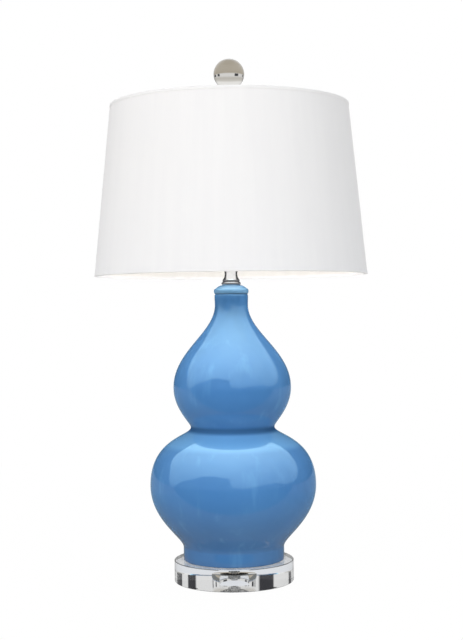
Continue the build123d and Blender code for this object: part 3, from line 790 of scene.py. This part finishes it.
def lapStrip(s):
    # where the linen's two ends overlap, at the back
    rows, columns = s["lapRows"], s["lapColumns"]
    points, faces = [], []
    for inset in (-s["lapT"], s["lapT"] / 2):
        for row in range(rows + 1):
            along = s["hemW"] + (s["slant"] - 2 * s["hemW"]) * row / rows
            for column in range(columns + 1):
                r, z = onWall(along, s["hem"] + inset)
                angle = math.pi / 2 + (column / columns * 2 - 1) * s["lapW"] / 2 / r
                points.append((r * math.cos(angle) * mm, r * math.sin(angle) * mm, z * mm))
    wide, layer = columns + 1, (rows + 1) * (columns + 1)
    for row in range(rows):
        for column in range(columns):
            a = row * wide + column
            ring = (a, a + 1, a + wide + 1, a + wide)
            faces += [ring, tuple(corner + layer for corner in reversed(ring))]
    edge = [*range(columns), *range(columns, rows * wide + columns, wide)]
    edge += [*range(layer - 1, layer - wide, -1), *range(rows * wide, 0, -wide)]
    for here, after in zip(edge, edge[1:] + edge[:1]):
        faces.append((after, here, here + layer, after + layer))
    mesh = bpy.data.meshes.new("linenLap")
    mesh.from_pydata(points, [], faces)
    mesh.materials.append(linen.material)
    return outwards(stood("linenLap", mesh))


layers = {
    "shadeLinen": (layerOutline(shade, shade["hem"], shade["linen"]), linen),
    "shadeLiner": (layerOutline(shade, shade["hem"] + shade["linen"], shade["liner"]), styrene),
    "bottomHem": (hemOutline(shade, 0, 1), linen),
    "topHem": (hemOutline(shade, shade["slant"], -1), linen),
}
cloth, backing, bottomHem, topHem = (
    turn(name, outline, finish, shade["around"], shade["sharp"])
    for name, (outline, finish) in layers.items()
)
stands(cloth, "shade", "white_linen", "shade_linen")
stands(backing, "shade", "styrene_liner", "shade_liner")
stands(bottomHem, "shade", "white_linen", "shade_bottom_hem")
stands(topHem, "shade", "white_linen", "shade_top_hem")
stands(lapStrip(shade), "shade", "white_linen")

# The linen was cut flat, as a sector round the point of the shade's cone
print("shade made")

# The finial's ball
ball = {"r": 22.9, "around": 128, "rings": 64}


def ballOutline(b):
    middle = levels("finial_ball")[1] - b["r"]
    swings = [math.pi * ring / b["rings"] for ring in range(b["rings"] + 1)]
    return [(b["r"] * math.sin(swing), middle - b["r"] * math.cos(swing)) for swing in swings]


crystalBall = turn("crystalBall", ballOutline(ball), crystal, ball["around"], sharp=60)
stands(crystalBall, "finial", "crystal", "finial_ball")
print("ball turned")

# What else shows keeps its CAD shape under a better finish
kept = {
    "bumper_feet": rubber, "base_washer": zinc, "lock_washer": zinc, "base_nut": zinc,
    "lamp_pipe": zinc, "cord_bushing": nylon, "harp_saddle": nickel, "harp_bow": nickel,
    "harp_stud": nickel, "ferrule_left": nickel, "ferrule_right": nickel, "socket_cap": nickel,
    "socket_shell": nickel, "socket_sleeve": card, "socket_block": phenolic,
    "screw_shell": brass, "centre_contact": brass, "switch_shaft": brass,
    "switch_knob": phenolic, "bulb_glass": frosted, "bulb_cap": aluminium,
    "bulb_insulator": phenolic, "bulb_button": zinc, "shade_top_ring": wire,
    "shade_bottom_ring": wire, "spider_washer": wire, "spider_arms": wire,
    "finial_base": nickel,
}
for node, finish in kept.items():
    piece = frame["nodes"][node]
    piece.data.materials.clear()
    piece.data.materials.append(finish.material)

# Threads. The ridge is the radius of the wire that is wound, and it starts this far above the end
pipeThread = {"r": 5.0, "pitch": 1.0, "length": 6.2, "above": 0.5, "ridge": 0.22}
bulbThread = {"r": 12.75, "pitch": 3.6, "length": 16.0, "above": 2.5, "ridge": 0.5}
onPipe = thread("pipeThread", pipeThread, levels("lamp_pipe")[0], zinc)
onBulb = thread("bulbThread", bulbThread, levels("bulb_cap")[0], aluminium)
stands(onPipe, "stand", "zinc_steel")
stands(onBulb, "bulb", "aluminium_cap")
print("threads wound")

# What shiny and clear pieces see of the surroundings; the camera sees plain white. The coat on the
# glaze alone is a perfect mirror, and what it mirrors is the open sky of the photograph
room = {
    "skyLow": (0.42, 0.72, 0.98), "skyHigh": (1.85, 2.95, 3.35),
    "clouds": 0.16, "cloudScale": 2.6,
    # under the skyline: its tones, up to dimTop degrees, and the share of them left at the back
    "dimLow": (0.15, 0.3, 0.45), "dimHigh": (0.36, 0.62, 0.76), "dimTop": 40.0,
    "dimBack": 0.55, "backEdge": (100.0, 135.0),
    "soft": (0.52, 0.54, 0.57),  # the even light that falls on every piece
    # what metal and clear pieces mirror: degrees up, and the level there
    "mirrored": [(0, 0.12), (6, 0.2), (14, 0.75), (30, 1.05), (55, 0.9), (70, 0.5)],
    # where the open sky starts: degrees to the right of the view back at the camera, and up
    "skyline": [
        (-165, 50), (-135, 42), (-120, 30), (-105, 18), (-98, 1), (-90, -2), (-75, 8), (-60, 14),
        (-45, 22), (-30, 25), (-6, 21), (-2, 4), (15, 2), (30, 4), (45, 6), (60, 7), (75, 3),
        (90, 3), (99, 6), (108, 16), (120, 32), (135, 40), (165, 50),
    ],
    "span": 180.0, "lowest": -10.0, "highest": 80.0, "softEdge": 0.7,
    # behind the lamp, as its clear pieces show it: degrees up, and the level there
    "behind": [
        (0, colour(172, 164, 150)), (6, colour(176, 168, 155)), (8.5, colour(222, 222, 222)),
        (15, colour(222, 222, 222)), (20, colour(196, 193, 188)), (28, colour(206, 204, 200)),
        (34, colour(240, 240, 240)), (46, colour(240, 240, 240)), (52, colour(190, 187, 182)),
    ],
    "dark": colour(40, 40, 46),
    "bars": [(-60.0, 5.0), (-22.5, 6.5), (33.0, 5.0), (57.5, 8.5)],  # heading and half width
    "barFrom": 8.0, "barTop": 15.0, "barEdge": 1.0,
}


def drawRoom(r):
    world = bpy.data.worlds.new("room")
    bpy.context.scene.world = world
    world.use_nodes = True
    plan = Plan(world.node_tree)
    background = world.node_tree.nodes["Background"]
    ray = plan.node("ShaderNodeLightPath", out="Is Camera Ray")
    place = plan.node("ShaderNodeTexCoord", out="Generated")
    heading = plan.xyz(place)
    across = heading.of("X").maths("ARCTAN2", heading.of("Y") * -1.0) * degrees
    height = heading.of("Z").maths("ARCSINE") * degrees
    zenith = 90.0

    reach = r["highest"] - r["lowest"]
    stops = [(0.5 + a / r["span"] / 2, (e - r["lowest"]) / reach) for a, e in r["skyline"]]
    edge = plan.ramp(across / (2 * r["span"]) + 0.5, stops) * reach + r["lowest"]
    above = plan.rise(height - edge, -r["softEdge"], r["softEdge"])
    drift = plan.noise(place, r["cloudScale"], 5.0, 0.6) - 0.5
    skyShare = height / r["highest"] + drift * r["clouds"] * 2
    openSky = plan.mix(skyShare, r["skyLow"], r["skyHigh"])
    dim = plan.mix(height / r["dimTop"], r["dimLow"], r["dimHigh"])
    beside = plan.rise(across.maths("ABSOLUTE"), *r["backEdge"])
    dim = plan.mix(beside, dim, plan.mix(r["dimBack"], (0.0, 0.0, 0.0), dim))
    mirrored = plan.mix(above, dim, openSky)

    back = heading.of("X").maths("ARCTAN2", heading.of("Y")) * degrees
    soft = r["barEdge"]
    bars = 0.0
    for middle, half in r["bars"]:
        off = (back - middle).maths("ABSOLUTE")
        bars = bars + (1 - plan.rise(off, half - soft, half + soft))
    bars = bars * (1 - plan.rise(height, r["barTop"] - soft, r["barTop"] + soft))
    bars = bars * plan.rise(height, r["barFrom"] - soft, r["barFrom"] + soft)
    clear = plan.ramp(height / zenith, [(e / zenith, level) for e, level in r["behind"]])
    clear = plan.mix(bars, clear, r["dark"])

    plain = plan.ramp(height / zenith, [(e / zenith, level) for e, level in r["mirrored"]])
    mirrored = plan.mix(ray.of("Is Singular Ray"), plain, mirrored)
    seen = plan.mix(ray.of("Is Glossy Ray"), r["soft"], mirrored)
    seen = plan.mix(ray.of("Is Transmission Ray"), seen, clear)
    plan.feed(background.inputs["Color"], plan.mix(ray, seen, (1.0, 1.0, 1.0)))


drawRoom(room)

# Floor, white where the camera looks, with the lamp's soft shadow. Distances are in metres
ground = {
    "halfW": 8.0, "drop": 0.0002, "front": -0.22, "frontEdge": 0.02,
    "white": 0.985, "whitens": (0.3, 1.6),
    # what the glaze mirrors: the table by its distance from the lamp, and the ground before it
    "table": [(0.12, (0.22, 0.21, 0.16)), (0.5, (0.2, 0.3, 0.38)), (1.0, (0.26, 0.37, 0.48))],
    "tableReach": 2.0, "beyond": (0.05, 0.13, 0.2),
    # what the clear pieces show: under them, behind them from here on, and where the glaze mirrors them
    "under": colour(222, 225, 230), "behind": colour(172, 164, 150), "behindFrom": (0.35, 0.7),
    "inGlaze": (0.16, 0.17, 0.17), "plain": (0.45, 0.45, 0.45),
}


def layFloor(g):
    finish = Finish("paleFloor", baseColor=(0.83, 0.8, 0.74), roughness=0.9, specularIorLevel=0.0)
    ray = finish.node("ShaderNodeLightPath", out="Is Camera Ray")
    place = finish.place()
    y = finish.xyz(place).of("Y")
    onTable = finish.rise(y, g["front"] - g["frontEdge"], g["front"] + g["frontEdge"])
    far = finish.node("ShaderNodeVectorMath", {"operation": "LENGTH"}, {0: place}, out="Value")
    stops = [(distance / g["tableReach"], tone) for distance, tone in g["table"]]
    mirrored = finish.mix(onTable, g["beyond"], finish.ramp(far / g["tableReach"], stops))
    mirrored = finish.mix(ray.of("Is Singular Ray"), g["plain"], mirrored)
    shiny = ray.of("Is Glossy Ray").maths("MAXIMUM", ray.of("Is Transmission Ray"))
    through = finish.mix(finish.rise(far, *g["behindFrom"]), g["under"], g["behind"])
    through = finish.mix(ray.of("Glossy Depth").maths("MINIMUM", 1.0), through, g["inGlaze"])
    tone = finish.mix(ray.of("Is Transmission Ray"), mirrored, through)
    tone = finish.mix(ray, tone, (1.0, 1.0, 1.0))
    lit = finish.node("ShaderNodeEmission", None, {"Color": tone, "Strength": 1.0})
    share = finish.rise(far, *g["whitens"]) * (1 - g["white"]) + g["white"]
    share = (ray * share).maths("MAXIMUM", shiny)
    both = finish.node("ShaderNodeMixShader", None, {0: share, 1: finish.solid(), 2: lit})
    below = finish.node("ShaderNodeNewGeometry", out="Backfacing")
    clear = finish.node("ShaderNodeBsdfTransparent")
    finish.shows(finish.node("ShaderNodeMixShader", None, {0: below, 1: both, 2: clear}))
    mesh = bpy.data.meshes.new("floor")
    w, z = g["halfW"], -g["drop"]
    mesh.from_pydata([(-w, -w, z), (w, -w, z), (w, w, z), (-w, w, z)], [], [(0, 1, 2, 3)])
    mesh.materials.append(finish.material)
    stood("floor", mesh)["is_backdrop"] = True


layFloor(ground)

# A hood seen in mirror reflections alone: cards round the nickel neck, and sky on its outside
hood = {
    "r": 20.0, "thick": 0.5, "low": 443.5, "high": 477.0, "around": 64,
    "step": 449.5, "stepSoft": 0.7, "card": (58.0, 88.0),  # degrees from the front
    "bright": (1.3, 1.3, 1.32), "dark": (0.08, 0.08, 0.09), "below": (0.16, 0.17, 0.2),
    "outside": (1.9, 2.5, 2.75),
}


def standHood(h):
    finish = Finish("neckHood")
    xyz = finish.xyz(finish.place())
    x, y, z = (xyz.of(axis) for axis in "XYZ")
    across = x.maths("ARCTAN2", y * -1.0).maths("ABSOLUTE") * degrees
    level = finish.mix(finish.rise(across, *h["card"]), h["bright"], h["dark"])
    over = finish.rise(z / mm, h["step"] - h["stepSoft"], h["step"] + h["stepSoft"])
    level = finish.mix(over, h["below"], level)
    off = ((x * x + y * y).maths("SQRT") / mm - h["r"]).maths("ABSOLUTE") / h["thick"]
    level = finish.mix(finish.rise(off, 0.2, 0.6), level, h["outside"])
    finish.shows(finish.node("ShaderNodeEmission", None, {"Color": level, "Strength": 1.0}))
    rimR, lidZ = h["r"] + h["thick"], h["high"] + h["thick"]
    outline = [(h["r"], h["low"]), (h["r"], h["high"]), (0, h["high"])]
    outline += [(0, lidZ), (rimR, lidZ), (rimR, h["low"])]
    sleeve = turn("neckHood", outline, finish, h["around"])
    sleeve.visible_camera = sleeve.visible_diffuse = sleeve.visible_shadow = False
    sleeve.visible_transmission = False
    sleeve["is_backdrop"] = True


standHood(hood)

# The glaze mirrors open sky, as if nothing hung over it. So what does is left out of reflections,
# and all of it but the finial is left out of what the clear pieces show
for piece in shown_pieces():
    if body_of(piece)[0] in ("shade", "harp", "bulb", "finial"):
        piece.visible_glossy = False
    if body_of(piece)[0] in ("shade", "harp", "bulb"):
        piece.visible_transmission = False

# Lamps: broad and soft, and left out of mirror reflections
lamps = {
    "key": {"at": (-1.1, -1.9, 1.7), "size": 1.4, "power": 37.0, "tint": (1.0, 0.985, 0.97)},
    "fill": {"at": (1.9, -1.4, 1.0), "size": 1.5, "power": 14.0, "tint": (0.97, 0.985, 1.0)},
    "back": {"at": (0.6, 2.2, 1.5), "size": 1.6, "power": 14.0, "tint": (1.0, 1.0, 1.0)},
    "top": {"at": (0.1, 0.5, 2.4), "size": 1.6, "power": 18.0, "tint": (1.0, 1.0, 1.0)},
    "overhead": {"at": (0.0, -0.95, 1.6), "size": 1.2, "power": 13.0, "tint": (0.8, 0.95, 1.0)},
}
aim = Vector((0, 0, 0.42))
for name, lamp in lamps.items():
    light = bpy.data.lights.new(name, "AREA")
    light.size, light.energy, light.color = lamp["size"], lamp["power"], lamp["tint"]
    holder = stood(name, light)
    holder.location = lamp["at"]
    holder.rotation_euler = (aim - holder.location).to_track_quat("-Z", "Y").to_euler()
    holder.visible_glossy = holder.visible_transmission = False

# The bulb is lit: its light stands inside the glass, which casts no shadow
glow = {"power": 1.9, "size": 0.03, "tint": (1.0, 0.94, 0.9)}
light = bpy.data.lights.new("bulbGlow", "POINT")
light.shadow_soft_size, light.energy, light.color = glow["size"], glow["power"], glow["tint"]
holder = stood("bulbGlow", light)
holder.location = (0, 0, levels("bulb_glass")[1] * mm - glow["size"])
holder.visible_glossy = holder.visible_transmission = holder.visible_camera = False
frame["nodes"]["bulb_glass"].visible_shadow = False

# The overhead lamp lights the stand's pieces alone, as if nothing hung over them
lit = bpy.data.collections.new("underOpenSky")
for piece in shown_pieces():
    if body_of(piece)[0] == "stand":
        lit.objects.link(piece)
linking = bpy.data.objects["overhead"].light_linking
linking.receiver_collection = linking.blocker_collection = lit

# Camera, as the photograph was taken. Down and roll are in degrees
view = {
    "distance": 1.894, "height": 0.4011, "lens": 71.3, "sensor": 36.0,
    "down": 0.34, "roll": -0.62,
}
data = bpy.data.cameras.new("camera")
data.lens, data.sensor_width = view["lens"], view["sensor"]
camera = stood("camera", data)
camera.location = (0, -view["distance"], view["height"])
tilt = Matrix.Rotation(math.radians(90 - view["down"]), 4, "X")
camera.rotation_euler = (tilt @ Matrix.Rotation(math.radians(view["roll"]), 4, "Z")).to_euler()
bpy.context.scene.camera = camera
bpy.context.scene.view_settings.view_transform = "Standard"
print("stage set")
